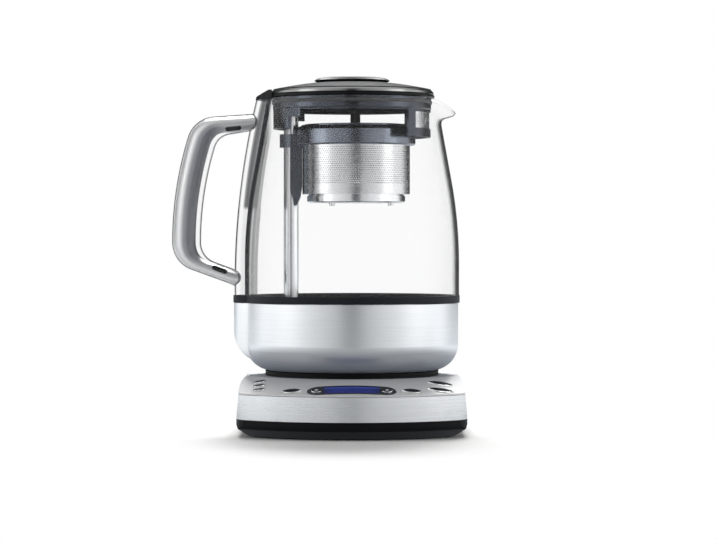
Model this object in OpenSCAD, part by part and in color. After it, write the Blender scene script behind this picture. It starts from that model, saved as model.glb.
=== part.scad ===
// Automatic tea maker: a glass jug with a motor-lifted infuser basket on a sloping control base.
// Z is up from the floor, the jug axis is X = Y = 0, the control panel faces -Y,
// the handle is at -X and the spout at +X. Millimetres throughout.

/* [Base] */
// Half width of the base at its widest
base_half = 81.7; // [74:0.1:96]
// Radius of the bowed front edge
front_r = 110; // [90:1:160]
// Reach of the front edge ahead of the jug axis
front_reach = 98; // [85:1:115]
// Reach of the rear edge behind the jug axis
rear_reach = 82; // [70:1:100]
// Plan radius of the front corners
corner_front = 23; // [10:1:30]
// Plan radius of the rear corners
corner_rear = 28; // [10:1:40]
// Height of the flat top the jug stands on
top_z = 41; // [34:0.5:50]
// Height of the panel surface at the front edge
edge_z = 31.4; // [28:0.1:36]
// Distance from the front arc's centre at which the panel starts to fall
crown_r = 78.5; // [76:0.5:90]
// Top of the black lower shell
shell_z = 12.6; // [10:0.1:18]
// Top of the steel band
band_z = 30; // [24:0.1:34]
// Draft of the flanks, taken over the height of the band
flank_draft = 1.9; // [0:0.1:4]
// Thickness of the top plate
plate_t = 2.4; // [1.5:0.1:4]
// Gap between neighbouring pieces of the base
seam = 0.3; // [0.2:0.05:0.6]
// Height of the rubber foot ring's protrusion
foot_h = 0.6; // [0.4:0.1:2]
// Height at which the lower edge starts to turn in
toe_z = 6; // [3:0.5:8]
// Reach of the lower edge's slope inwards
toe_in = 9.6; // [5:0.1:13]

/* [Controls] */
// Distance of the display's centre from the front edge
display_in = 11.2; // [10.8:0.1:14]
// Length of the display bezel
bezel_l = 62; // [50:1:70]
// Height of the display bezel
bezel_w = 16.2; // [12:0.1:17]
// Length of the display window
window_l = 39.5; // [30:0.5:45]
// Height of the display window
window_w = 13; // [9:0.5:15]
// Distance of the small buttons from the flank
small_in = 16.3; // [14:0.1:22]
// Spacing of the small buttons
small_pitch = 10.2; // [8:0.1:12]
// Distance of the start buttons from the flank
start_in = 19.3; // [18:0.1:24]
// Spacing of the start buttons
start_pitch = 16; // [13:0.1:18]
// Offset of the select buttons from the middle
select_x = 42; // [39:0.5:46]
// Offset of the arrow keys from the middle
arrow_x = 24.6; // [22:0.1:28]
// Diameter of the arrow keys
arrow_d = 7.6; // [6:0.1:9]
// Clearance round every button
button_gap = 0.35; // [0.3:0.05:0.6]
// Stand of a button above the panel
button_up = 0.9; // [0.5:0.1:2]
// Travel of a button
button_travel = 0.8; // [0.5:0.1:1.5]

/* [Connector] */
// Diameter of the connector tower on the base
tower_d = 33; // [26:0.5:40]
// Height of the tower above the base top
tower_h = 11.5; // [8:0.5:16]
// Radial clearance of the tower in the jug socket
tower_gap = 0.6; // [0.4:0.1:1.2]

/* [Jug] */
// Radius of the glass at its foot
jug_r = 77.6; // [60:0.1:95]
// Height at which the wall starts to lean in
lean_z = 122; // [110:1:150]
// Radius of the lean's curve
lean_r = 329; // [200:1:500]
// Angle of the leaning wall
lean_a = 10.3; // [5:0.1:15]
// Top edge of the glass
rim_z = 241; // [220:0.5:260]
// Bottom edge of the glass
glass_z = 95.5; // [90:0.1:100]
// Thickness of the glass
glass_t = 2.4; // [1.8:0.1:4]
// Radius of the steel bowl
bowl_r = 77; // [60:0.1:95]
// Top of the steel bowl
bowl_z = 93.3; // [85:0.1:98]
// Radius of the bowl's lower corner
bowl_corner = 19; // [10:0.5:25]
// Underside of the steel bowl
bowl_foot_z = 44.6; // [42:0.1:48]
// Sheet thickness of the bowl
bowl_t = 1.2; // [0.8:0.1:2]
// Gap under the jug when it stands on the base
seat_gap = 0.3; // [0.2:0.05:0.5]
// Radius of the black foot
foot_r = 62.8; // [55:0.1:70]
// Top of the seam gasket
gasket_z = 98.8; // [95:0.1:102]
// Radius of the lobe at the handle side
lobe_r = 20; // [15:0.5:25]
// Outermost reach of the lobe
lobe_reach = 85.6; // [80:0.1:95]
// Radius of the spine's outer curve
spine_r = 572; // [400:1:900]
// Height at which the spine's outer curve stands upright
spine_z = 107; // [95:1:125]
// Reach of the spout tip
spout_reach = 75.3; // [70:0.1:85]
// Height of the spout tip
spout_z = 231; // [224:0.5:238]
// Slope of the spout's underside from upright
spout_a = 52; // [40:1:60]

/* [Handle] */
// Radius of the grip's centre line
grip_r = 249; // [150:1:400]
// Reach of the grip's centre line at its lower end
grip_reach = 120; // [110:0.5:130]
// Height at which the grip stands upright
grip_z = 137; // [125:1:150]
// Thickness of the handle
grip_t = 21; // [16:0.5:25]
// Width of the handle
grip_w = 25; // [20:0.5:32]
// Slope of the upper arm
arm_top_a = 4.2; // [0:0.1:12]
// Height of the upper arm's centre line, where it leaves the grip
arm_top_z = 218; // [205:0.5:225]
// Slope of the lower arm
arm_low_a = 20; // [10:1:30]
// Wall of the clear shell over the metal core
shell_wall = 1.3; // [1:0.1:3]
// Wall of the clear shell on the finger side
finger_wall = 4; // [2:0.5:6]

/* [Basket] */
// Offset of the basket axis towards the spout
basket_x = 3; // [0:0.5:6]
// Outer radius of the basket rim
rim_r = 43; // [35:0.5:48]
// Underside of the rim
rim_low = 207.3; // [200:0.1:212]
// Top of the rim
rim_top = 220.8; // [215:0.1:224]
// Outer radius of the mesh sleeve
mesh_r = 39; // [30:0.5:42]
// Bottom of the mesh sleeve
mesh_low = 172; // [165:0.5:180]
// Sheet thickness of the mesh sleeve
mesh_t = 0.8; // [0.5:0.1:1.5]
// Rows of strainer holes
hole_rows = 5; // [3:1:7]
// Strainer holes in a row
hole_count = 24; // [12:1:40]
// Diameter of a strainer hole
hole_d = 2.6; // [1.5:0.1:4]
// Travel of the basket down the post
basket_travel = 62; // [40:1:64]

/* [Lift] */
// Offset of the guide post from the jug axis
post_x = 44.2; // [42:0.1:50]
// Outer diameter of the guide post
post_d = 10.6; // [9:0.1:14]
// Bore of the guide post
post_bore = 8.6; // [7:0.1:11]
// Top of the guide post
post_top = 236; // [225:1:238]
// Radial clearance of the guide shoe on the post
shoe_gap = 0.35; // [0.3:0.05:0.6]
// Diameter of the lift screw
screw_d = 4; // [3:0.1:5]
// Diameter of the magnet carriage
carriage_d = 7.8; // [6:0.1:10]

/* [Lid] */
// Radius of the lid's rim
lid_r = 59.8; // [50:0.1:65]
// Underside of the cover's bright edge
cover_low = 243.6; // [242.8:0.1:245]
// Top of the cover's bright edge
lid_rim_z = 247; // [246:0.1:250]
// Radius of the lid skirt
skirt_r = 57.3; // [50:0.1:58]
// Underside of the lid skirt
skirt_low = 232; // [228:0.5:236]
// Radius of the lid knob
knob_r = 27.4; // [20:0.1:32]
// Top of the lid knob
knob_z = 256.5; // [254:0.1:265]
// Underside of the strainer bracket
bracket_low = 213; // [208:0.5:220]

/* [Hidden] */
$fn = 96;
slope_a = atan((top_z - edge_z) / (front_r - crown_r));
front_c = front_r - front_reach;
display_r = front_r - display_in;
corner_x = base_half - corner_front;
corner_y = front_c - sqrt(pow(front_r - corner_front, 2) - corner_x * corner_x);
rear_x = base_half - corner_rear;
rear_y = rear_reach - corner_rear;
shoulder = 6;
blend = 0.15;
lobe_x = lobe_reach - lobe_r;
lean_x = jug_r - lean_r;
lean_end = lean_z + lean_r * sin(lean_a);
lean_end_r = lean_x + lean_r * cos(lean_a);
rim_r_out = lean_end_r - (rim_z - lean_end) * tan(lean_a);
spine_cx = spine_r - lobe_reach + 0.4;
spout_x = 60;
elbow_r = grip_t / 2 + 0.1;
grip_cx = grip_r - grip_reach;
arm_ref = [-96.5 - grip_cx, arm_top_z - grip_z];
arm_u = [cos(arm_top_a), sin(arm_top_a)];
arm_n = [sin(arm_top_a), -cos(arm_top_a)];
elbow_0 = arm_ref + elbow_r * arm_n;
elbow_s = -(elbow_0 * arm_u)
    - sqrt(pow(elbow_0 * arm_u, 2) - elbow_0 * elbow_0 + pow(grip_r - elbow_r, 2));
elbow_d = elbow_0 + elbow_s * arm_u;
elbow_top = [grip_cx + elbow_d[0], grip_z + elbow_d[1]];
elbow_a = atan2(elbow_d[1], elbow_d[0]);
elbow_low = [elbow_r - grip_reach, grip_z];
finger_low_r = 15;
finger_top_r = 13;
finger_r = grip_r - grip_t / 2;
finger_top_z = 202.3 - grip_z;
finger_top_x = grip_cx - sqrt(pow(finger_r - finger_top_r, 2) - pow(finger_top_z, 2));
finger_top_a = 14;
finger_low = [grip_cx - finger_r + finger_low_r, grip_z];
finger_top = [finger_top_x, grip_z + finger_top_z];
floor_z = 88;
bracket_r = skirt_r - 2.6;
big = 400;

// Names of the separate pieces, and which of them to draw

// ---- base outline ----
// Plan of the base moved inwards by d
module plan(d) {
    intersection() {
        translate([0, front_c]) circle(front_r - d);
        polygon([[0, front_c], [2 * corner_x, 2 * corner_y - front_c],
            [-2 * corner_x, 2 * corner_y - front_c]]);
    }
    for (s = [-1, 1]) {
        translate([s * corner_x, corner_y]) circle(corner_front + blend - d);
        translate([s * rear_x, rear_y]) circle(corner_rear - d);
    }
    translate([d - base_half, corner_y]) square([2 * (base_half - d), rear_y - corner_y]);
    translate([-rear_x, corner_y]) square([2 * rear_x, rear_reach - d - corner_y]);
}

// Solid whose flanks lean in and end in a rounded shoulder, moved inwards by d
module flanks(d) {
    w = base_half - d;
    w_top = w - flank_draft;
    rotate([90, 0, 0]) linear_extrude(big, center = true) {
        polygon([[-w, 0], [w, 0], [w, shell_z], [w_top, band_z], [w_top, top_z - shoulder],
            [-w_top, top_z - shoulder], [-w_top, band_z], [-w, shell_z]]);
        for (s = [-1, 1]) translate([s * (w_top - shoulder), top_z - shoulder]) circle(shoulder - d);
        translate([shoulder - w_top, 0]) square([2 * (w_top - shoulder), top_z - d]);
    }
}

// Everything under the panel's surface, lifted by up; its front falls as a cone about the front arc
module crown(up) {
    z_out = top_z + up - tan(slope_a) * (front_r + 10 - crown_r);
    translate([0, front_c, 0]) rotate_extrude()
        polygon([[0, 0], [front_r + 10, 0], [front_r + 10, z_out], [crown_r, top_z + up],
            [0, top_z + up]]);
}

// Rear wall with a rounded upper edge, moved inwards by d
module rear_wall(d) {
    y = rear_reach - d;
    rotate([90, 0, 90]) linear_extrude(big, center = true) {
        translate([-big, 0]) square([big + y, top_z - shoulder]);
        translate([-big, 0]) square([big + y - shoulder + d, top_z - d]);
        translate([y - shoulder + d, top_z - shoulder]) circle(shoulder - d);
    }
}

// The chamfered lower edge of the base all round
module lower_edge() {
    r = front_r;
    translate([0, front_c, 0]) rotate_extrude()
        polygon([[0, foot_h], [r - toe_in, foot_h], [r - 1.2, toe_z], [r, toe_z + 2.6],
            [r, shell_z - seam], [0, shell_z - seam]]);
}
module lower_sides() {
    w = base_half;
    rotate([90, 0, 0]) linear_extrude(big, center = true)
        polygon([[-w, 20], [-w, toe_z + 2.6], [1.2 - w, toe_z], [toe_in - w, foot_h],
            [w - toe_in, foot_h], [w - 1.2, toe_z], [w, toe_z + 2.6], [w, 20]]);
}
module lower_rear() {
    y = rear_reach;
    rotate([90, 0, 90]) linear_extrude(big, center = true)
        polygon([[-big / 2, foot_h], [y - toe_in, foot_h], [y - 1.2, toe_z], [y, toe_z + 2.6],
            [y, 20], [-big / 2, 20]]);
}

// Moves a piece onto the panel, az degrees round and r out from the front arc's centre
module on_panel(az, r) {
    translate([0, front_c, 0]) rotate([0, 0, az])
        translate([0, -r, top_z - tan(slope_a) * (r - crown_r)]) rotate([slope_a, 0, 0])
        children();
}

// The panel's front edge x out from the middle
function edge_y(x) = front_c - sqrt(front_r * front_r - x * x);

// Moves a piece onto the panel, x out from the middle and y behind the front edge there
module on_panel_at(x, y) {
    back = front_c - edge_y(x) - y;
    on_panel(atan2(x, back), norm([x, back])) children();
}

// ---- button outlines, each grown by d ----
module capsule(l, w, d) {
    for (s = [-1, 1]) translate([s * (l - w) / 2, 0]) circle(w / 2 + d);
    square([l - w, w + 2 * d], center = true);
}
module lens(l, w, d) {
    r = (l * l + w * w) / (4 * w);
    intersection() {
        translate([0, r - w / 2]) circle(r + d);
        translate([0, w / 2 - r]) circle(r + d);
    }
}

module small_shape(d) { capsule(8.6, 5.2, d); }
module select_shape(d) { lens(14, 8, d); }
module start_shape(d) { lens(18.5, 8.8, d); }
module arrow_shape(d) { circle(arrow_d / 2 + d); }

// Places for the buttons
module at_small(i) {
    on_panel_at(small_in - base_half, 9 + small_pitch * (2 - i)) rotate([0, 0, 36]) children();
}
module at_select(s) { on_panel_at(s * select_x, 7.4) rotate([0, 0, -s * 12]) children(); }
module at_start(i) {
    on_panel_at(base_half - start_in, 8.2 + start_pitch * (1 - i)) rotate([0, 0, -28]) children();
}
module at_arrow(s) { on_panel(0, display_r) translate([s * arrow_x, 0, -0.75]) children(); }

// A button cap with a gently domed top and the stem that reaches its switch
module cap(h, stem) {
    intersection() {
        translate([0, 0, -1.2]) linear_extrude(h + 1.2) children();
        translate([0, 0, h - 45]) sphere(45);
    }
    translate([0, 0, -plate_t - stem]) cylinder(d = 3, h = stem + 1);
}

// ---- base pieces ----
module foot_ring() {
    color([0.08, 0.08, 0.09]) rotate_extrude() translate([57, 0]) square([8, foot_h + 1.5]);
}

module screw_places() {
    for (x = [-56, 56], y = [-48, 48]) translate([x, y, 0]) children();
}

module base_shell() {
    color([0.06, 0.06, 0.07]) difference() {
        union() {
            intersection() {
                linear_extrude(shell_z - seam) plan(0);
                lower_edge();
                lower_sides();
                lower_rear();
            }
            translate([0, 0, shell_z - 2]) linear_extrude(band_z - shell_z + 1.8) plan(3.4);
        }
        rotate_extrude() translate([56.8, 0]) square([8.4, foot_h + 1.5]);
        screw_places() cylinder(d = 8.4, h = 7);
        screw_places() cylinder(d = 3.2, h = 18);
        // well for the control board under the buttons
        translate([0, 0, 17]) linear_extrude(20) intersection() {
            plan(5.2);
            translate([-base_half - 5, -front_reach - 12]) square([2 * base_half + 10, 68]);
        }
        // well for the connector
        translate([0, 0, 20]) cylinder(d = tower_d + 18, h = 20);
        // hole for the cord entry at the rear
        translate([0, rear_reach + 10, 21]) rotate([90, 0, 0]) cylinder(d = 9.4, h = 40);
    }
}

module base_screws() {
    color([0.6, 0.6, 0.62]) screw_places() difference() {
        union() {
            translate([0, 0, 4.4]) cylinder(d = 7.6, h = 2.4);
            translate([0, 0, 6.6]) cylinder(d = 3, h = 11);
        }
        for (a = [0, 90]) rotate([0, 0, a]) translate([-2.6, -0.6, 4.2]) cube([5.2, 1.2, 1.4]);
    }
}

module base_band() {
    color([0.75, 0.76, 0.78]) difference() {
        intersection() {
            translate([0, 0, shell_z]) linear_extrude(band_z - shell_z) plan(0);
            flanks(0);
        }
        linear_extrude(band_z + 1) plan(3.1);
        translate([0, rear_reach + 10, 21]) rotate([90, 0, 0]) cylinder(d = 9.4, h = 40);
    }
}

module top_body(d) {
    z_low = band_z + seam;
    intersection() {
        translate([0, 0, z_low - d]) linear_extrude(top_z - z_low) plan(d);
        flanks(d);
        crown(-d);
        rear_wall(d);
    }
}

module top_plate() {
    color([0.72, 0.73, 0.75]) difference() {
        top_body(0);
        top_body(plate_t);
        translate([0, 0, 20]) cylinder(d = tower_d + 9, h = 30);
        for (i = [0, 1, 2]) at_small(i) through() small_shape(button_gap);
        for (s = [-1, 1]) at_select(s) through() select_shape(button_gap);
        for (i = [0, 1]) at_start(i) through() start_shape(button_gap);
        on_panel(0, display_r) through() capsule(bezel_l, bezel_w, 0.15);
    }
}
module through() { translate([0, 0, -12]) linear_extrude(20) children(); }

module display_bezel() {
    color([0.1, 0.11, 0.13]) difference() {
        intersection() {
            on_panel(0, display_r) translate([0, 0, -1.8]) linear_extrude(6)
                capsule(bezel_l, bezel_w, 0);
            crown(0.3);
        }
        on_panel(0, display_r) through() square([window_l + 0.2, window_w + 0.2], center = true);
        for (s = [-1, 1]) at_arrow(s) through() arrow_shape(button_gap);
    }
}

module display_window() {
    color([0.12, 0.2, 0.6]) intersection() {
        on_panel(0, display_r) translate([0, 0, -1.8]) linear_extrude(5)
            square([window_l, window_w], center = true);
        crown(0.1);
    }
}

module display_module() {
    color([0.15, 0.16, 0.17]) on_panel(0, display_r) translate([0, 0.8, -4])
        cube([window_l - 3, window_w - 3, 4.2], center = true);
}

module control_board() {
    color([0.08, 0.35, 0.2]) difference() {
        translate([0, 0, 17.5]) linear_extrude(1.6) intersection() {
            plan(8);
            translate([-base_half - 5, -front_reach - 12]) square([2 * base_half + 10, 66]);
        }
        translate([0, 0, 10]) cylinder(d = tower_d + 24, h = 12);
        screw_places() cylinder(d = 5, h = 25);
    }
}

module power_connector() {
    color([0.07, 0.07, 0.08]) {
        difference() {
            union() {
                translate([0, 0, 24]) cylinder(d = tower_d + 8, h = top_z - 24.4);
                cylinder_bevel(tower_d / 2, top_z - 3, top_z + tower_h);
            }
            // moats for the contact rings and the centre pin's bore
            rotate_extrude() translate([6, top_z]) square([2.4, tower_h + 1]);
            rotate_extrude() translate([11.4, top_z]) square([2, tower_h + 1]);
            translate([0, 0, top_z]) cylinder(d = 4.4, h = tower_h + 1);
        }
    }
}
module cylinder_bevel(r, z0, z1) {
    rotate_extrude() polygon([[0, z0], [r, z0], [r, z1 - 1], [r - 1, z1], [0, z1]]);
}

module power_contacts() {
    color([0.8, 0.62, 0.3]) {
        rotate_extrude() translate([6.8, top_z]) square([0.8, tower_h - 3]);
        rotate_extrude() translate([12, top_z]) square([0.8, tower_h - 3]);
    }
}

module cord_gland() {
    color([0.07, 0.07, 0.08]) translate([0, rear_reach, 21]) rotate([90, 0, 0]) difference() {
        union() {
            translate([0, 0, -2]) cylinder(d = 13, h = 1.9);
            translate([0, 0, -0.2]) cylinder(d = 9, h = 12);
        }
        translate([0, 0, -4]) cylinder(d = 6.6, h = 30);
    }
}

// ---- buttons ----
module arrow_button(s) { color([0.55, 0.57, 0.6]) at_arrow(s) cap(0.8, 2.5) arrow_shape(0); }
module arrow_left() { arrow_button(-1); }
module arrow_right() { arrow_button(1); }
module small_button(i) { color([0.5, 0.52, 0.55]) at_small(i) cap(button_up, 4) small_shape(0); }
module small_button_rear() { small_button(0); }
module small_button_middle() { small_button(1); }
module small_button_front() { small_button(2); }
module select_button(s) { color([0.35, 0.36, 0.38]) at_select(s) cap(button_up, 4) select_shape(0); }
module select_button_left() { select_button(-1); }
module select_button_right() { select_button(1); }
module start_button(i) { color([0.4, 0.41, 0.43]) at_start(i) cap(button_up, 4) start_shape(0); }
module start_button_rear() { start_button(0); }
module start_button_front() { start_button(1); }

// ---- jug outline ----
// Half section of everything inside the glass wall, moved inwards by d, from z0 up
module jug_half(d, z0, z1) {
    intersection() {
        union() {
            translate([0, 0]) square([jug_r - d, lean_z]);
            intersection() {
                translate([lean_x, lean_z]) circle(lean_r - d, $fn = 1440);
                translate([0, lean_z]) square([jug_r + 5, lean_end - lean_z - d * sin(lean_a)]);
            }
            translate([lean_end_r, lean_end]) rotate(lean_a) translate([-150, -5])
                square([150 - d, 110]);
        }
        translate([0, z0]) square([jug_r + 20, z1 - z0]);
        // below the curve only the upright wall counts
        polygon([[0, 0], [jug_r + 20, 0], [jug_r + 20, lean_end], [jug_r + 20, 300], [0, 300]]);
    }
}

// The spout's cone, moved inwards by d
module spout_cone(d) {
    r_tip = spout_reach - spout_x - d / cos(spout_a);
    z_low = spout_z - r_tip / tan(spout_a);
    translate([spout_x, 0, 0]) rotate_extrude()
        polygon([[0, z_low], [r_tip + 12 * tan(spout_a), spout_z + 12], [0, spout_z + 12]]);
}

module glass_jug() {
    color([0.85, 0.92, 0.95, 0.35]) difference() {
        union() {
            rotate_extrude() jug_half(0, gasket_z + 0.1, rim_z);
            intersection() {
                spout_cone(0);
                translate([30, -40, 200]) cube([60, 80, rim_z - 200]);
            }
            translate([0, 0, glass_z]) cylinder(r = jug_r - 2, h = 6);
        }
        rotate_extrude() jug_half(glass_t, 0, 300);
        intersection() {
            spout_cone(glass_t * 0.8);
            translate([30, -40, 200]) cube([80, 80, 80]);
        }
        // the lip falls away towards its tip
        translate([spout_reach, 0, spout_z]) rotate([0, 31, 0]) translate([-20.5, -50, 0])
            cube([60, 100, 40]);
    }
}

// ---- bowl ----
module bowl_half(d) {
    r_c = bowl_r - bowl_corner;
    z_c = bowl_foot_z + bowl_corner;
    translate([r_c, z_c]) circle(bowl_corner - d);
    translate([0, z_c]) square([bowl_r - d, bowl_z - z_c + d]);
    translate([0, bowl_foot_z + d]) square([r_c, bowl_corner]);
}
// Half section whose corner cuts the lobe's lower end, moved inwards by d
module lobe_half(d) {
    r_c = lobe_reach - 24;
    z_c = bowl_foot_z + 29;
    intersection() {
        translate([r_c, z_c]) circle(24 - d);
        translate([0, bowl_foot_z]) square([100, 60]);
    }
    translate([0, z_c]) square([lobe_reach - d, bowl_z - z_c + d]);
    translate([0, bowl_foot_z + 5 + d]) square([r_c, 24]);
}
module bowl_solid(d) {
    rotate_extrude() intersection() {
        bowl_half(d);
        square([100, 120]);
    }
    intersection() {
        translate([-lobe_x, 0, bowl_foot_z]) cylinder(r = lobe_r - d, h = bowl_z - bowl_foot_z + d);
        rotate_extrude() intersection() {
            lobe_half(d);
            square([100, 120]);
        }
    }
}

module steel_bowl() {
    color([0.75, 0.76, 0.78]) difference() {
        bowl_solid(0);
        bowl_solid(bowl_t);
        translate([0, 0, bowl_foot_z - 4]) cylinder(r = foot_r - 8, h = 8);
    }
}

module foot_screw_places() {
    for (a = [45 : 90 : 315]) rotate([0, 0, a]) translate([34, 0, 0]) children();
}

module jug_foot() {
    z0 = top_z + seat_gap;
    color([0.06, 0.06, 0.07]) difference() {
        union() {
            translate([0, 0, z0]) cylinder(r = foot_r, h = bowl_foot_z - z0 - 0.05);
            translate([0, 0, z0]) cylinder(r = foot_r - 8.2, h = 8);
        }
        translate([0, 0, 40]) cylinder(d = tower_d + 12, h = 20);
        rotate_extrude() translate([28, 40]) square([15, z0 - 40 + 1.2]);
        foot_screw_places() cylinder(d = 3.2, h = 60);
    }
}

module foot_screws() {
    z0 = top_z + seat_gap + 1.4;
    color([0.6, 0.6, 0.62]) foot_screw_places() difference() {
        union() {
            translate([0, 0, z0 - 1]) cylinder(d = 6, h = 0.75);
            translate([0, 0, z0 - 0.3]) cylinder(d = 3, h = 8);
        }
        for (a = [0, 90]) rotate([0, 0, a]) translate([-2, -0.5, z0 - 1.2]) cube([4, 1, 0.6]);
    }
}

module jug_connector() {
    z0 = top_z + seat_gap;
    z_top = top_z + tower_h;
    color([0.09, 0.09, 0.1]) {
        difference() {
            translate([0, 0, z0]) cylinder(d = tower_d + 11.6, h = tower_h + 6);
            translate([0, 0, z0 - 1]) cylinder(r = tower_d / 2 + tower_gap, h = tower_h + 1.5);
        }
        // centre pin that enters the tower's bore
        translate([0, 0, top_z + 3]) cylinder(d = 3.2, h = tower_h);
    }
}

module heater_plate() {
    color([0.7, 0.71, 0.72]) difference() {
        rotate_extrude() polygon([[0, floor_z - 2], [63, floor_z - 2], [70, bowl_z - 1.8],
            [bowl_r - bowl_t - 0.1, bowl_z - 1.8], [bowl_r - bowl_t - 0.1, bowl_z],
            [69.2, bowl_z], [62.2, floor_z], [0, floor_z]]);
        translate([-post_x, 0, floor_z - 10]) cylinder(d = post_bore + 1.2, h = 20);
    }
}

module heating_element() {
    color([0.55, 0.55, 0.56]) {
        translate([0, 0, floor_z - 6.05]) difference() {
            cylinder(r = 34, h = 4);
            translate([0, 0, -1]) cylinder(r = 22, h = 6);
        }
        translate([0, 0, floor_z - 10]) rotate_extrude() translate([28, 0]) circle(4);
        for (s = [-1, 1]) translate([10 * s, 26, floor_z - 22]) cylinder(d = 5, h = 14);
    }
}

module seam_gasket() {
    z0 = bowl_z + 0.3;
    color([0.2, 0.21, 0.23]) difference() {
        union() {
            translate([0, 0, z0]) cylinder(r = jug_r + 0.5, h = gasket_z - z0);
            translate([-lobe_x, 0, z0]) cylinder(r = lobe_r + 0.5, h = gasket_z - z0);
        }
        translate([0, 0, glass_z - 0.1]) cylinder(r = jug_r - 1.9, h = 10);
        translate([0, 0, 80]) cylinder(r = 70, h = 30);
    }
}

// Tube that follows the spine's outer curve, grown by d
module spine_tube(d, z0, z1) {
    intersection() {
        translate([spine_cx, 0, spine_z]) rotate([90, 0, 0]) rotate([0, 0, 162])
            rotate_extrude(angle = 24, $fn = 1440) translate([spine_r - lobe_r, 0])
                circle(lobe_r + d);
        translate([-100, -40, z0]) cube([80, 80, z1 - z0]);
    }
}

module spine() {
    color([0.82, 0.88, 0.9, 0.4]) difference() {
        spine_tube(0, gasket_z + 0.1, rim_z - 1);
        rotate_extrude() jug_half(-0.1, 0, 300);
    }
}

module spine_cap() {
    color([0.05, 0.05, 0.06]) difference() {
        spine_tube(0.4, rim_z - 0.9, lid_rim_z);
        translate([0, 0, 200]) cylinder(r = lid_r + 0.4, h = 80);
        rotate_extrude() jug_half(-0.1, 0, rim_z);
        translate([-lid_r - 1, 0, lid_rim_z - 0.4]) rotate([0, -27, 0])
            translate([-40, -40, 0]) cube([60, 80, 20]);
    }
}

// ---- handle ----
// A closed curve with a bowed left side and two straight, sloping sides, in the plane of the handle
module bow(c_low, r_low, a_low, c_top, r_top, a_top, r_side, l) {
    c0 = [grip_cx, grip_z];
    n1 = [-sin(a_low), -cos(a_low)];
    u1 = [cos(a_low), -sin(a_low)];
    n2 = [-sin(a_top), cos(a_top)];
    u2 = [cos(a_top), sin(a_top)];
    translate(c_low) circle(r_low + 0.15);
    translate(c_top) circle(r_top + 0.15);
    polygon([c_low, c_low + r_low * n1, c_low + r_low * n1 + l * u1,
        c_top + r_top * n2 + l * u2, c_top + r_top * n2, c_top]);
    intersection() {
        translate(c0) circle(r_side, $fn = 720);
        polygon([c0, c0 + 1.3 * (c_low - c0), c0 + 1.3 * (c_top - c0)]);
    }
}
// The handle's side view, its outer edge d smaller and its finger opening e larger
module handle_side(d, e) {
    r = elbow_r + grip_t / 2 - d;
    difference() {
        bow(elbow_low, r, arm_low_a, elbow_top, r, arm_top_a, grip_r + grip_t / 2 - d, 60);
        bow(finger_low, finger_low_r + e, arm_low_a, finger_top, finger_top_r + e, finger_top_a,
            finger_r + e, 75);
    }
}
module handle_body(d, e) {
    difference() {
        rotate([90, 0, 0]) linear_extrude(grip_w - 2 * d, center = true) handle_side(d, e);
        spine_tube(0.1, 60, 300);
        rotate_extrude() jug_half(-1, 0, 300);
        translate([-70, -40, 0]) cube([250, 80, 300]);
    }
}

module handle_core() {
    color([0.72, 0.73, 0.75]) handle_body(shell_wall, finger_wall);
}

module handle_shell() {
    color([0.85, 0.9, 0.92, 0.4]) difference() {
        handle_body(0, 0);
        handle_body(shell_wall - 0.1, finger_wall - 0.1);
    }
}

// ---- lift ----
module guide_post() {
    color([0.8, 0.81, 0.83]) translate([-post_x, 0, 0]) difference() {
        union() {
            translate([0, 0, floor_z + 0.05]) cylinder(d = post_d, h = post_top - floor_z);
            translate([0, 0, floor_z + 0.05]) cylinder(d = post_d + 8, h = 2.6);
            translate([0, 0, floor_z - 6]) cylinder(d = post_bore + 1, h = 7);
        }
        translate([0, 0, floor_z - 10]) cylinder(d = post_bore, h = post_top - floor_z + 7);
    }
}

module lift_motor() {
    color([0.5, 0.5, 0.52]) translate([-post_x, 0, 0]) difference() {
        union() {
            translate([0, 0, 56]) cylinder(d = 24, h = 16);
            translate([-6, 0, 72.2]) cylinder(d = 14, h = 3);
            translate([0, 0, 72]) cylinder(d = 12, h = 6);
            for (s = [-1, 1]) translate([0, 16 * s, 68]) cylinder(d = 6.4, h = 2);
            translate([-3, -17, 68]) cube([6, 34, 2]);
        }
        translate([0, 0, 66]) cylinder(d = screw_d + 1, h = 20);
    }
}

module lift_screw() {
    color([0.65, 0.65, 0.67]) translate([-post_x, 0, 0]) {
        translate([0, 0, 67]) cylinder(d = screw_d, h = post_top - 4 - 67);
        translate([0, 0, floor_z - 7]) cylinder(d = post_bore - 1.2, h = 3);
    }
}

module magnet_carriage() {
    color([0.25, 0.25, 0.27]) translate([-post_x, 0, 0]) difference() {
        translate([0, 0, rim_low - 30]) cylinder(d = carriage_d, h = 26);
        translate([0, 0, rim_low - 31]) cylinder(d = screw_d + 0.6, h = 28);
        for (z = [rim_low - 24, rim_low - 12]) translate([0, 0, z]) ring_cut();
    }
}
module ring_cut() {
    rotate_extrude() translate([carriage_d / 2 - 0.6, 0]) square([1, 4]);
}

// ---- basket ----
module basket_rim() {
    post_r = post_d / 2 + shoe_gap;
    color([0.32, 0.34, 0.38]) difference() {
        union() {
            translate([basket_x, 0, 0]) rotate_extrude() {
                polygon([[mesh_r + 0.1, rim_low], [rim_r - 1, rim_low], [rim_r, rim_low + 1],
                    [rim_r, rim_top - 2.5], [rim_r - 1.4, rim_top], [mesh_r - 1.6, rim_top],
                    [mesh_r - 1.6, rim_top - 1.5], [mesh_r + 0.1, rim_top - 4]]);
            }
            // collar that runs round the post
            translate([-post_x, 0, rim_low - 1.6]) cylinder(r = 8.2, h = 9.6);
            translate([-post_x, -8.2, rim_low - 1.6]) cube([14, 16.4, 9.6]);
        }
        translate([-post_x, 0, rim_low - 20]) cylinder(r = post_r, h = 60);
        translate([basket_x, 0, rim_low - 10]) cylinder(r = mesh_r + 0.05, h = 16);
    }
}

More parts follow.
